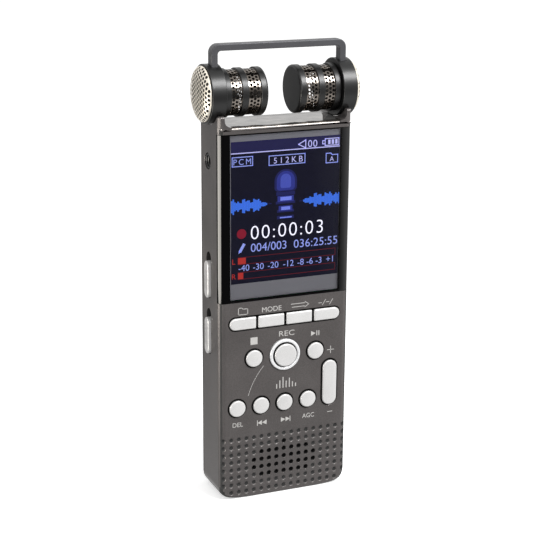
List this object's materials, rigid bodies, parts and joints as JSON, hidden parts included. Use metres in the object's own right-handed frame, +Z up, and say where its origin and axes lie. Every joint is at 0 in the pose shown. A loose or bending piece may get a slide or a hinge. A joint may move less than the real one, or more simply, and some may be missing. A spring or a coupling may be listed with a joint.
{
  "type": "portable field recorder",
  "caption": "Slim hand-held audio recorder with a colour display, round keys, slide switches, a loudspeaker, and outward-facing stereo microphones under a guard bow.",
  "frame": {"origin": "centre of the flat bottom face that the recorder stands on, midway across its width and depth", "axes": "+Z up along the body, -Y out of the display and keypad side, +X to the right of a person facing it"},
  "size_m": [0.05, 0.0188, 0.1403],
  "materials": {
    "shell": "dark warm grey metallic paint with a fine grain",
    "lens": "gloss black and clear display window",
    "display": "colour liquid crystal panel, lit",
    "foil": "bright pressed metal foil",
    "battery": "matt laminate pouch",
    "keys": "satin silver-white plating",
    "bright_ring": "bright turned metal",
    "gunmetal": "dark anodised, turned and lightly polished",
    "mesh": "perforated bright sheet metal",
    "bow": "dark grey satin paint",
    "black_plastic": "matt black moulded plastic",
    "rubber": "matt silicone rubber",
    "board": "green solder mask",
    "steel": "plain bright steel",
    "cone": "black paper cone",
    "gauze": "fine black woven gauze",
    "screws": "black zinc plating"
  },
  "bodies": {
    "body": {"front_shell": "shell", "rear_shell": "shell", "display_lens": "lens", "lcd_panel": "display", "lcd_backlight": "foil", "record_ring": "bright_ring", "keypad_mat": "rubber", "main_board": "board", "battery": "battery", "speaker_basket": "steel", "speaker_cone": "cone", "speaker_gauze": "gauze", "headphone_jack": "black_plastic", "usb_socket": "steel", "upper_switch_housing": "steel", "lower_switch_housing": "steel", "left_barrel_cap": "gunmetal", "left_barrel_ring": "gunmetal", "left_barrel_base": "gunmetal", "left_vent_sleeve": "mesh", "left_collar": "gunmetal", "left_grille": "mesh", "left_capsule": "steel", "right_barrel_cap": "gunmetal", "right_barrel_ring": "gunmetal", "right_barrel_base": "gunmetal", "right_vent_sleeve": "mesh", "right_collar": "gunmetal", "right_grille": "mesh", "right_capsule": "steel", "guard_bow": "bow", "rear_screw_1": "screws", "rear_screw_2": "screws", "rear_screw_3": "screws", "rear_screw_4": "screws", "board_screw_1": "screws", "board_screw_2": "screws", "board_screw_3": "screws", "board_screw_4": "screws"},
    "soft_key_1": {"soft_key_1": "keys"},
    "soft_key_2": {"soft_key_2": "keys"},
    "soft_key_3": {"soft_key_3": "keys"},
    "soft_key_4": {"soft_key_4": "keys"},
    "stop_button": {"stop_button": "keys"},
    "record_button": {"record_button": "keys"},
    "play_button": {"play_button": "keys"},
    "delete_button": {"delete_button": "keys"},
    "back_button": {"back_button": "keys"},
    "forward_button": {"forward_button": "keys"},
    "gain_button": {"gain_button": "keys"},
    "volume_rocker": {"volume_rocker": "keys"},
    "upper_slide": {"upper_slide_knob": "keys", "upper_slide_carrier": "black_plastic"},
    "lower_slide": {"lower_slide_knob": "keys", "lower_slide_carrier": "black_plastic"}
  },
  "joints": [
    {"name": "soft_key_1_press", "type": "slide", "parent": "body", "child": "soft_key_1", "axis": [0, 1, 0], "range_m": [0, 0.0004], "stiffness_N_per_m": 600},
    {"name": "soft_key_2_press", "type": "slide", "parent": "body", "child": "soft_key_2", "axis": [0, 1, 0], "range_m": [0, 0.0004], "stiffness_N_per_m": 600},
    {"name": "soft_key_3_press", "type": "slide", "parent": "body", "child": "soft_key_3", "axis": [0, 1, 0], "range_m": [0, 0.0004], "stiffness_N_per_m": 600},
    {"name": "soft_key_4_press", "type": "slide", "parent": "body", "child": "soft_key_4", "axis": [0, 1, 0], "range_m": [0, 0.0004], "stiffness_N_per_m": 600},
    {"name": "stop_button_press", "type": "slide", "parent": "body", "child": "stop_button", "axis": [0, 1, 0], "range_m": [0, 0.0004], "stiffness_N_per_m": 600},
    {"name": "record_button_press", "type": "slide", "parent": "body", "child": "record_button", "axis": [0, 1, 0], "range_m": [0, 0.0004], "stiffness_N_per_m": 600},
    {"name": "play_button_press", "type": "slide", "parent": "body", "child": "play_button", "axis": [0, 1, 0], "range_m": [0, 0.0004], "stiffness_N_per_m": 600},
    {"name": "delete_button_press", "type": "slide", "parent": "body", "child": "delete_button", "axis": [0, 1, 0], "range_m": [0, 0.0004], "stiffness_N_per_m": 600},
    {"name": "back_button_press", "type": "slide", "parent": "body", "child": "back_button", "axis": [0, 1, 0], "range_m": [0, 0.0004], "stiffness_N_per_m": 600},
    {"name": "forward_button_press", "type": "slide", "parent": "body", "child": "forward_button", "axis": [0, 1, 0], "range_m": [0, 0.0004], "stiffness_N_per_m": 600},
    {"name": "gain_button_press", "type": "slide", "parent": "body", "child": "gain_button", "axis": [0, 1, 0], "range_m": [0, 0.0004], "stiffness_N_per_m": 600},
    {"name": "volume_rocker_tilt", "type": "hinge", "parent": "body", "child": "volume_rocker", "pos_m": [0.01505, -0.0064, 0.03475], "axis": [1, 0, 0], "range_deg": [-2.5, 2.5], "stiffness_Nm_per_rad": 0.1},
    {"name": "upper_slide_travel", "type": "slide", "parent": "body", "child": "upper_slide", "axis": [0, 0, 1], "range_m": [0, 0.0025]},
    {"name": "lower_slide_travel", "type": "slide", "parent": "body", "child": "lower_slide", "axis": [0, 0, 1], "range_m": [0, 0.0025]}
  ]
}
